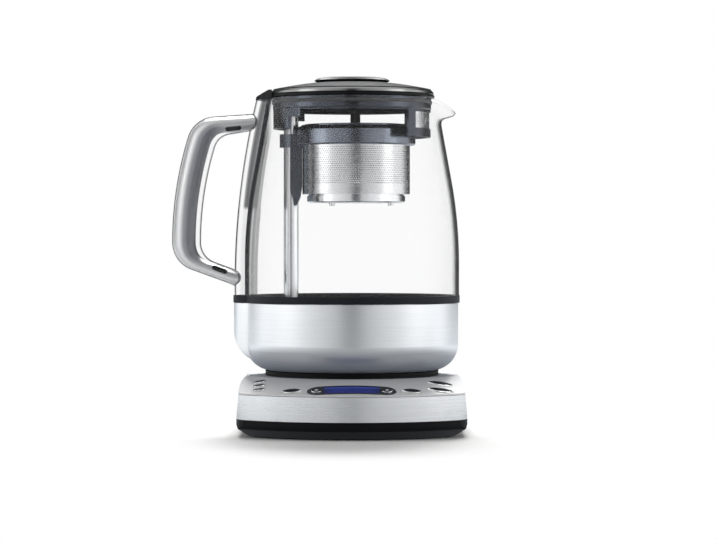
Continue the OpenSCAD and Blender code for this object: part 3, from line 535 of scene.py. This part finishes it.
# painted shade for the inside of the perforated sheets
meshShade = rubberFinish("meshInsideShade", 0.012)
ringSteel = brushedSteel("ringSteel", "round", 0.86, 0.14)
screwSteel = rawMetal("screwSteel", (0.55, 0.55, 0.56, 1), 0.3)
motorSteel = rawMetal("motorSteel", (0.42, 0.42, 0.43, 1), 0.35)
elementMetal = rawMetal("elementAluminium", (0.6, 0.6, 0.62, 1), 0.4)
brass = rawMetal("contactBrass", (0.78, 0.56, 0.22, 1), 0.25)
magnetFinish = rawMetal("magnetFerrite", (0.12, 0.12, 0.13, 1), 0.5)
rubber = rubberFinish("rubberFoot")
gasketRubber = mouldedPlastic("gasketRubber", (0.014, 0.016, 0.02, 1), 0.42)
sealRubber = rubberFinish("sealRubber", 0.06)
blackShell = mouldedPlastic("blackShell", (0.005, 0.0052, 0.006, 1), 0.3)
blackInner = mouldedPlastic("blackInner", (0.016, 0.016, 0.018, 1), 0.45)
blackFoot = mouldedPlastic("blackFoot", (0.004, 0.004, 0.0045, 1), 0.5)
blackTrim = mouldedPlastic("blackTrim", (0.008, 0.008, 0.009, 1), 0.25, 0.01)
knobFinish = mouldedPlastic("knobBlack", (0.008, 0.008, 0.009, 1), 0.32, 0.01)
slatePlastic = smokePlastic("slatePlastic", (0.17, 0.186, 0.22, 1), 0.2)
slateClear = smokePlastic("slateSkirt", (0.052, 0.058, 0.072, 1), 0.12)
bezelFinish = mouldedPlastic("bezelDark", (0.02, 0.022, 0.024, 1), 0.22, 0.01, 0.4)
boardGreen = boardFinish("boardGreen")
windowFront, windowBack = (corner[1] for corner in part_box("display_window"))
displayBlue = displayFinish("displayBlue", windowFront * 500 + windowBack * 500)
keyDark = mouldedPlastic("keyDark", (0.028, 0.03, 0.035, 1), 0.4, 0.005)
keyRing = polishedSteel("keyRing", 0.95, 0.22)
iconWhite = mouldedPlastic("iconWhite", (0.75, 0.76, 0.78, 1), 0.35, 0.005)

nodeFinish = {
    "foot_ring": rubber, "base_shell": blackShell, "base_screws": screwSteel,
    "base_band": bandSteel, "top_plate": plateSteel, "power_connector": blackInner,
    "power_contacts": brass, "cord_gland": blackInner, "control_board": boardGreen,
    "display_module": blackInner, "display_bezel": bezelFinish, "display_window": displayBlue,
    "arrow_left": keyDark, "arrow_right": keyDark, "small_button_rear": keyDark,
    "small_button_middle": keyDark, "small_button_front": keyDark, "select_button_left": keyDark,
    "select_button_right": keyDark, "start_button_rear": keyDark, "start_button_front": keyDark,
    "jug_foot": blackFoot, "foot_screws": screwSteel, "steel_bowl": bowlSteel,
    "heater_plate": floorSteel, "heating_element": elementMetal, "jug_connector": blackInner,
    "seam_gasket": gasketRubber, "glass_jug": clearGlass, "spine": clearSpine,
    "spine_cap": blackTrim, "handle_shell": clearShell, "handle_core": handleSteel,
    "guide_post": postSteel, "lift_motor": motorSteel, "lift_screw": screwSteel,
    "magnet_carriage": magnetFinish, "basket_rim": slatePlastic, "basket_shoe": slatePlastic,
    "basket_magnet": magnetFinish, "basket_mesh": meshSteel, "basket_floor": ringSteel,
    "basket_lid": slatePlastic, "basket_knob": knobFinish, "lid_skirt": slateClear,
    "lid_seal": sealRubber, "spout_strainer": meshSteel, "lid_rim": blackTrim,
    "lid_cover": coverSteel, "lid_knob": knobFinish,
}
for name, material in nodeFinish.items():
    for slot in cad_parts[name].material_slots:
        slot.material = material
print("frame pieces finished")


# low to step is the edge that stands in the gasket, above leanStart the wall bows inwards
jug = {"radius": 77.6, "wall": 2.4, "low": 95.5, "step": 98.9, "tuck": 2, "leanStart": 122,
       "leanRadius": 329, "leanAngle": 10.3, "rim": 241, "rows": 40, "turns": 180,
       "spoutReach": 75.2, "spoutDrop": 9.6, "spoutLow": 220, "spoutHalf": 17}


def wallRadius(height):
    bend = jug["leanRadius"] * math.sin(math.radians(jug["leanAngle"]))
    up = height - jug["leanStart"]
    if up <= 0:
        return jug["radius"]
    if up < bend:
        return jug["radius"] - jug["leanRadius"] + math.sqrt(jug["leanRadius"] ** 2 - up ** 2)
    end = jug["radius"] - jug["leanRadius"] * (1 - math.cos(math.radians(jug["leanAngle"])))
    return end - (up - bend) * math.tan(math.radians(jug["leanAngle"]))


def smooth(value):
    value = max(0.0, min(1.0, value))
    return value * value * (3 - 2 * value)


def pullSpout(bm):
    rimRadius = wallRadius(jug["rim"])
    for vert in bm.verts:
        height = vert.co.z / mm
        if height < jug["spoutLow"]:
            continue
        around = math.degrees(math.atan2(vert.co.y, vert.co.x))
        bell = math.exp(-(around / jug["spoutHalf"]) ** 2)
        rise = smooth((height - jug["spoutLow"]) / (jug["rim"] - jug["spoutLow"]))
        radius = math.hypot(vert.co.x, vert.co.y) / mm
        pull = (jug["spoutReach"] - rimRadius) * bell * rise ** 1.6
        drop = jug["spoutDrop"] * bell ** 1.4 * rise ** 1.3
        scale = (radius + pull) / radius
        vert.co = Vector((vert.co.x * scale, vert.co.y * scale, (height - drop) * mm))


def buildJug():
    wall = jug["wall"]
    rows = jug["rows"]
    clear = jug["rim"] - jug["step"] - wall / 2
    heights = [jug["step"] + clear * i / rows for i in range(rows + 1)]
    outer = [(jug["radius"] - jug["tuck"], h) for h in (jug["low"], jug["step"])]
    outer += [(wallRadius(h), h) for h in heights]
    inner = [(wallRadius(h) - wall, h) for h in reversed(heights)]
    inner.append((jug["radius"] - wall, jug["low"]))
    lip = arc(wallRadius(jug["rim"]) - wall / 2, jug["rim"] - wall / 2, wall / 2, 0, 180, 8)[1:-1]
    bm = turned(outer + lip + inner, jug["turns"])
    pullSpout(bm)
    bm.normal_update()
    for face in bm.faces:
        centre = face.calc_center_median()
        face.material_index = 0 if face.normal.x * centre.x + face.normal.y * centre.y > 0 else 1
    item = piece("glassJug", bm, [clearGlass, clearInner], "jug", 60)
    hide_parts("glass_jug")


buildJug()
print("glass jug built")


# elbow is the outer corner radius, fingerLow and fingerTop the inner ones; endLow and endTop are
# where the arms stop inside the column; squareness is the power of the rounded section
handle = {"gripCentre": (129, 137), "gripRadius": 249, "thick": 21, "width": 25, "elbow": 21.1,
          "lowAngle": 20, "topAngle": 4.2, "topZ": 218, "topFrom": 96.5, "fingerLow": 15,
          "fingerTop": 13, "fingerTopZ": 202.3, "fingerTopAngle": 9, "wall": 1.3,
          "fingerWall": 4, "endLow": -84.4, "endTop": -73.5, "gap": 0.12, "fit": 0.05,
          "squareness": 2.35, "sides": 48, "armSteps": 8, "cornerSteps": 14, "gripSteps": 24}


# the outer face of the clear column, where the arms of the handle meet it
def spineFace(y, z):
    reach = spineShape["middle"] + math.sqrt(max(0.0, spineShape["lobe"] ** 2 - y * y))
    return spineShape["centre"] - math.sqrt(reach ** 2 - (z - spineShape["height"]) ** 2)


# side view of one edge of the handle: arm, corner, bowed grip, corner, arm
def handleEdge(low, lowRadius, lowAngle, top, topRadius, topAngle, side):
    cx, cz = handle["gripCentre"]
    a, b = math.radians(lowAngle), math.radians(topAngle)
    start = (low[0] - lowRadius * math.sin(a), low[1] - lowRadius * math.cos(a))
    end = (top[0] - topRadius * math.sin(b), top[1] + topRadius * math.cos(b))
    lowRun = handle["endLow"] - start[0]
    topRun = handle["endTop"] - end[0]
    turn = math.degrees(math.atan2(top[1] - cz, top[0] - cx))
    armSteps, cornerSteps = handle["armSteps"], handle["cornerSteps"]
    points = [(start[0] + lowRun * (1 - i / armSteps),
               start[1] - lowRun * (1 - i / armSteps) * math.tan(a)) for i in range(armSteps)]
    points += arc(low[0], low[1], lowRadius, 270 - lowAngle, 180, cornerSteps)[:-1]
    points += arc(cx, cz, side, 180, turn, handle["gripSteps"])[:-1]
    points += arc(top[0], top[1], topRadius, turn, 90 + topAngle, cornerSteps)
    points += [(end[0] + topRun * i / armSteps, end[1] + topRun * i / armSteps * math.tan(b))
               for i in range(1, armSteps + 1)]
    return points


def handleEdges():
    cx, cz = handle["gripCentre"]
    half = handle["thick"] / 2
    centreR = handle["elbow"] - half
    low = (cx - handle["gripRadius"] + centreR, cz)
    armZ = handle["topZ"] - centreR / math.cos(math.radians(handle["topAngle"]))
    reach = handle["gripRadius"] - centreR
    topX = cx - math.sqrt(reach ** 2 - (armZ - cz) ** 2)
    topZ = armZ + (topX + handle["topFrom"]) * math.tan(math.radians(handle["topAngle"]))
    topX = cx - math.sqrt(reach ** 2 - (topZ - cz) ** 2)
    outer = handleEdge(low, handle["elbow"], handle["lowAngle"], (topX, topZ), handle["elbow"],
                       handle["topAngle"], handle["gripRadius"] + half)
    fingerR = handle["gripRadius"] - half
    fingerZ = handle["fingerTopZ"]
    fingerX = cx - math.sqrt((fingerR - handle["fingerTop"]) ** 2 - (fingerZ - cz) ** 2)
    inner = handleEdge((cx - fingerR + handle["fingerLow"], cz), handle["fingerLow"],
                       handle["lowAngle"], (fingerX, fingerZ), handle["fingerTop"],
                       handle["fingerTopAngle"], fingerR)
    return outer, inner


# sweeps a rounded section between the two edges; outerInset moves it in all round, and innerInset
# moves its finger side in along the grip
def buildHandlePart(name, node, material, outerInset, innerInset, width):
    outer, inner = handleEdges()
    sides = handle["sides"]
    bm = bmesh.new()
    across = bm.verts.layers.float.new("across")
    along = bm.verts.layers.float.new("along")
    ring = bmesh.ops.create_circle(bm, segments=sides, radius=1.0)["verts"]
    angles = [math.tau * i / sides for i in range(sides)]
    last = len(outer) - 1
    power = 2 / handle["squareness"]
    for index, (a, b) in enumerate(zip(outer, inner)):
        if index:
            grown = bmesh.ops.extrude_edge_only(bm, edges=ringEdges)["geom"]
            ring = vertsOf(grown)
        out, into = Vector((a[0], 0, a[1])), Vector((b[0], 0, b[1]))
        span = (out - into).normalized()
        share = index / last
        grip = smooth((share - 0.08) / 0.16) * smooth((0.94 - share) / 0.16)
        out = out - span * outerInset
        into = into + span * (outerInset + (innerInset - outerInset) * grip)
        middle, half = (out + into) / 2, (out - into).length / 2
        ring = sorted(ring, key=lambda v: v.index) if index == 0 else orderRing(ring, previous)
        for vert, angle in zip(ring, angles):
            c, s = math.cos(angle), math.sin(angle)
            sideways = math.copysign(abs(s) ** power, s) * width / 2
            point = middle + span * math.copysign(abs(c) ** power, c) * half
            x = point.x
            if index in (0, last):
                x = spineFace(sideways, point.z) - handle["gap"]
            vert.co = Vector((x, sideways, point.z)) * mm
            vert[across] = c
            vert[along] = share
        previous = ring
        ringEdges = loopEdges(ring)
        if index == 0:
            first = ringEdges
    bmesh.ops.holes_fill(bm, edges=first + ringEdges, sides=0)
    bmesh.ops.recalc_face_normals(bm, faces=bm.faces)
    item = piece(name, bm, [material], "jug", 60)
    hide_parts(node)


# the verts of a new ring in the order of the ring it was pulled from
def orderRing(ring, previous):
    partners = {}
    for vert in ring:
        for edge in vert.link_edges:
            other = edge.other_vert(vert)
            if other not in ring:
                partners[other] = vert
    return [partners[vert] for vert in previous]


def loopEdges(ring):
    edges = []
    for index, vert in enumerate(ring):
        other = ring[(index + 1) % len(ring)]
        edges.append(next(e for e in vert.link_edges if e.other_vert(vert) is other))
    return edges


buildHandlePart("handleCore", "handle_core", handleSteel, handle["wall"],
                handle["fingerWall"], handle["width"] - 2 * handle["wall"])
buildHandlePart("handleShell", "handle_shell", clearShell, handle["fit"],
                handle["fit"], handle["width"] - 2 * handle["fit"])
print("handle built")


# a sheet with staggered round holes, rolled to an arc round an upright axis
def perforated(name, node, sheet):
    radius = sheet["radius"]
    pitch = sheet["pitch"]
    across = radius * math.radians(sheet["sweep"])
    columns = round(across / pitch)
    clear = sheet["high"] - sheet["low"] - sheet["lowBorder"] - sheet["topBorder"]
    stagger = 0.866  # rows of a staggered pattern stand this much closer than its columns
    rows = round(clear / (pitch * stagger))
    height = rows * pitch * stagger
    bm = bmesh.new()
    bmesh.ops.create_grid(bm, x_segments=columns, y_segments=rows, size=0.5)
    inner = [v for v in bm.verts if abs(v.co.x) < 0.499 and abs(v.co.y) < 0.499]
    for vert in bm.verts:
        row = round((vert.co.y + 0.5) * rows)
        vert.co.x += (0.25 if row % 2 else -0.25) / columns
        vert.co = Vector(((vert.co.x + 0.5) * across, (vert.co.y + 0.5) * height, 0))
    grown = bmesh.ops.bevel(bm, geom=inner, offset=pitch * sheet["open"], offset_type="OFFSET",
                            affect="VERTICES", segments=2, profile=0.5, material=-1)
    limit = pitch * (sheet["open"] + 0.05)
    holes = [f for f in grown["faces"] if all(
        (v.co - f.calc_center_median()).length < limit for v in f.verts)]
    bmesh.ops.delete(bm, geom=holes, context="FACES")
    base = sheet["low"] + sheet["lowBorder"]
    for side in (0, 1):
        rim = [e for e in bm.edges if e.is_boundary and all(
            abs(v.co.y - side * height) < 0.001 for v in e.verts)]
        grown = bmesh.ops.extrude_edge_only(bm, edges=rim)["geom"]
        for vert in vertsOf(grown):
            vert.co.y = (sheet["high"] if side else sheet["low"]) - base
    for vert in bm.verts:
        angle = math.radians(sheet["start"]) + vert.co.x / radius
        vert.co = Vector((sheet["centre"] + radius * math.cos(angle), radius * math.sin(angle),
                          base + vert.co.y)) * mm
    bmesh.ops.remove_doubles(bm, verts=bm.verts, dist=0.05 * mm)
    bmesh.ops.recalc_face_normals(bm, faces=bm.faces)
    outward = 0
    for face in bm.faces:
        spot = face.calc_center_median()
        outward += face.normal.x * (spot.x - sheet["centre"] * mm) + face.normal.y * spot.y
    if outward < 0:
        bmesh.ops.reverse_faces(bm, faces=bm.faces)
    bmesh.ops.solidify(bm, geom=list(bm.faces), thickness=sheet["thick"] * mm)
    reaches = {}
    for face in bm.faces:
        spot = face.calc_center_median()
        reaches[face] = math.hypot(spot.x - sheet["centre"] * mm, spot.y)
    middle = (min(reaches.values()) + max(reaches.values())) / 2  # outer skin steel, the rest dark
    # the inner skin and the hole walls take painted shade, so that the holes read dark
    for face, reach in reaches.items():
        face.material_index = 0 if reach > middle + sheet["thick"] * 0.25 * mm else 1
    item = piece(name, bm, [meshSteel, meshShade], sheet["body"], 50)
    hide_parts(node)


# start and sweep in degrees; open is the radius of a hole as a share of the pitch; the borders are
# plain steel above and below the holes
sleeve = {"body": "basket", "centre": 3.0, "radius": 38.95, "low": 172.0, "high": 212.9,
          "start": 180, "sweep": 360, "pitch": 1.75, "open": 0.38, "lowBorder": 6.2,
          "topBorder": 5.2, "thick": 0.6}
strainer = {"body": "lid", "centre": 0.0, "radius": 56.05, "low": 219.2, "high": 230.8,
            "start": -36.5, "sweep": 73, "pitch": 1.75, "open": 0.33, "lowBorder": 1.4,
            "topBorder": 1.4, "thick": 0.5}
perforated("basketSleeve", "basket_mesh", sleeve)
perforated("spoutMesh", "spout_strainer", strainer)
print("perforated steel built")


# the panel falls as a cone round the front arc's centre, from the crown to the front edge
panel = {"frontRadius": 110, "reach": 98, "crown": 78.5, "topZ": 41, "edgeZ": 31.4, "half": 81.7}
panelCentre = panel["frontRadius"] - panel["reach"]
panelSlope = math.atan((panel["topZ"] - panel["edgeZ"]) / (panel["frontRadius"] - panel["crown"]))


# a place on the sloping panel, angle degrees round and radius out from the front arc's centre
def onPanel(angle, radius):
    height = panel["topZ"] - math.tan(panelSlope) * (radius - panel["crown"])
    return (Matrix.Translation((0, panelCentre, 0)) @ Matrix.Rotation(math.radians(angle), 4, "Z")
            @ Matrix.Translation((0, -radius, height)) @ Matrix.Rotation(panelSlope, 4, "X"))


# the same, x out from the middle and y behind the front edge there
def behindEdge(x, y):
    back = math.sqrt(panel["frontRadius"] ** 2 - x * x) - y
    return onPanel(math.degrees(math.atan2(x, back)), math.hypot(x, back))


def turnedBy(place, angle):
    return place @ Matrix.Rotation(math.radians(angle), 4, "Z")


def capsuleOutline(length, width):
    straight = (length - width) / 2
    return (arc(straight, 0, width / 2, -90, 90, 12) + arc(-straight, 0, width / 2, 90, 270, 12))


def lensOutline(length, width):
    radius = (length ** 2 + width ** 2) / (4 * width)
    half = math.degrees(math.asin(length / 2 / radius))
    upper = arc(0, width / 2 - radius, radius, 90 - half, 90 + half, 20)
    lower = arc(0, radius - width / 2, radius, 270 - half, 270 + half, 20)
    return upper[:-1] + lower[:-1]


# what all the keys share: depth of the skirt, radius of the stem and where it starts, depth of the
# step inside the rim, the dish and the raised marks
keyForm = {"skirt": 1.15, "stemRadius": 1.45, "stemTop": -1.0, "step": 0.18, "rimReach": 0.16,
           "dishRings": 3, "dishRise": 0.07, "dishEase": 0.02, "iconGap": 0.02,
           "iconHeight": 0.04}


# a key cap: a skirt with a rolled polished rim round a dished dark face, and its stem
def buildKey(name, node, place, outline, key, icons=()):
    bm = bmesh.new()
    verts = [bm.verts.new((x, y, -keyForm["skirt"])) for x, y in outline]
    face = bm.faces.new(verts)
    stem = bmesh.ops.create_cone(bm, cap_ends=True, segments=24, radius1=keyForm["stemRadius"],
                                 radius2=keyForm["stemRadius"], depth=key["stem"])["verts"]
    bmesh.ops.translate(bm, verts=stem, vec=(0, 0, keyForm["stemTop"] - key["stem"] / 2))
    top = pulledOut(bm, face, (0, 0, keyForm["skirt"] + key["up"]))
    rimEdges = list(top.edges)
    bmesh.ops.inset_region(bm, faces=[top], thickness=key["rim"], depth=0)
    bmesh.ops.bevel(bm, geom=rimEdges, offset=key["rim"] * 0.4, offset_type="OFFSET",
                    affect="EDGES", segments=3, profile=0.5, material=-1)
    bmesh.ops.inset_region(bm, faces=[top], thickness=keyForm["step"], depth=-keyForm["step"])
    top.material_index = 1
    for step in range(keyForm["dishRings"]):
        bmesh.ops.inset_region(bm, faces=[top], thickness=key["dish"],
                               depth=keyForm["dishRise"] - step * keyForm["dishEase"])
    for ring in bm.faces:
        inside = ring.calc_center_median()
        if ring.material_index == 0 and inside.z > key["up"] - keyForm["rimReach"] and any(
                f.material_index == 1 for e in ring.edges for f in e.link_faces):
            ring.material_index = 1
    for icon in icons:
        height = key["up"] + keyForm["iconGap"]
        mark = bm.faces.new([bm.verts.new((x, y, height)) for x, y in icon])
        mark.material_index = 2
        pulledOut(bm, mark, (0, 0, keyForm["iconHeight"]))
    bmesh.ops.recalc_face_normals(bm, faces=bm.faces)
    bmesh.ops.scale(bm, verts=bm.verts, vec=(mm, mm, mm))
    lift = place.copy()
    lift.translation = place.translation * mm
    bmesh.ops.transform(bm, matrix=lift, verts=bm.verts)
    item = piece(name, bm, [keyRing, keyDark, iconWhite], node + "_key", 35)
    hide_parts(node)


smallKey = {"length": 8.6, "width": 5.2, "in": 16.3, "front": 9.0, "step": 10.2, "turn": 36,
            "up": 0.72, "rim": 0.7, "dish": 0.35, "stem": 5.2}
selectKey = {"length": 14, "width": 8, "out": 42, "front": 7.4, "turn": 12,
             "up": 0.72, "rim": 0.65, "dish": 0.5, "stem": 5.2}
startKey = {"length": 18.5, "width": 8.8, "in": 19.3, "front": 8.2, "step": 16, "turn": 28,
            "up": 0.72, "rim": 0.9, "dish": 0.6, "stem": 5.2}
arrowKey = {"diameter": 7.6, "out": 24.6, "sink": 0.75, "in": 11.2,
            "up": 0.6, "rim": 0.5, "dish": 0.4, "stem": 3.7,
            "markHalf": 1.5, "markLow": 0.45, "markTip": 2.1}

for index, where in enumerate(("rear", "middle", "front")):
    spot = behindEdge(smallKey["in"] - panel["half"],
                      smallKey["front"] + smallKey["step"] * (2 - index))
    buildKey("smallKey" + where.title(), "small_button_" + where,
             turnedBy(spot, smallKey["turn"]),
             capsuleOutline(smallKey["length"], smallKey["width"]), smallKey)
for side, where in ((-1, "left"), (1, "right")):
    spot = behindEdge(side * selectKey["out"], selectKey["front"])
    buildKey("selectKey" + where.title(), "select_button_" + where,
             turnedBy(spot, -side * selectKey["turn"]),
             lensOutline(selectKey["length"], selectKey["width"]), selectKey)
    spot = (onPanel(0, panel["frontRadius"] - arrowKey["in"])
            @ Matrix.Translation((side * arrowKey["out"], 0, -arrowKey["sink"])))
    half, low, tip = arrowKey["markHalf"], arrowKey["markLow"], arrowKey["markTip"]
    marks = [[(-half * flip, low * flip), (half * flip, low * flip), (0, tip * flip)]
             for flip in (1, -1)]
    buildKey("arrowKey" + where.title(), "arrow_" + where, spot,
             arc(0, 0, arrowKey["diameter"] / 2, 0, 360, 32)[:-1], arrowKey, marks)
for index, where in enumerate(("rear", "front")):
    spot = behindEdge(panel["half"] - startKey["in"],
                      startKey["front"] + startKey["step"] * (1 - index))
    buildKey("startKey" + where.title(), "start_button_" + where,
             turnedBy(spot, -startKey["turn"]),
             lensOutline(startKey["length"], startKey["width"]), startKey)
print("keys built")


# dark inlays in the arms of the handle, painted shade standing in for the shade of an opening
# there;
# a place is x, z, the depth where the inlay starts and the slope of the arm in degrees
armShadeInlay = {"length": 11.6, "width": 3.4, "deep": 2.2, "round": 0.4,
            "places": ((-85.6, 219.4, 8.6, 6), (-95.5, 117.4, 9.5, -20))}


def buildArmShadeInlays():
    bm = bmesh.new()
    for x, z, low, slope in armShadeInlay["places"]:
        for side in (-1, 1):
            outline = capsuleOutline(armShadeInlay["length"], armShadeInlay["width"])
            c, s = math.cos(math.radians(slope)), math.sin(math.radians(slope))
            face = bm.faces.new([bm.verts.new((x + a * c - b * s, side * low, z + a * s + b * c))
                                 for a, b in outline])
            top = pulledOut(bm, face, (0, side * armShadeInlay["deep"], 0))
            bmesh.ops.bevel(bm, geom=list(top.edges), offset=armShadeInlay["round"],
                            offset_type="OFFSET", affect="EDGES", segments=3, profile=0.5,
                            material=-1)
    bmesh.ops.recalc_face_normals(bm, faces=bm.faces)
    bmesh.ops.scale(bm, verts=bm.verts, vec=(mm, mm, mm))
    # dark inlays as painted shade in the arms
    item = piece("handleArmShadeInlays", bm, [blackTrim], "jug", 40)


buildArmShadeInlays()
print("arm shade inlays built")
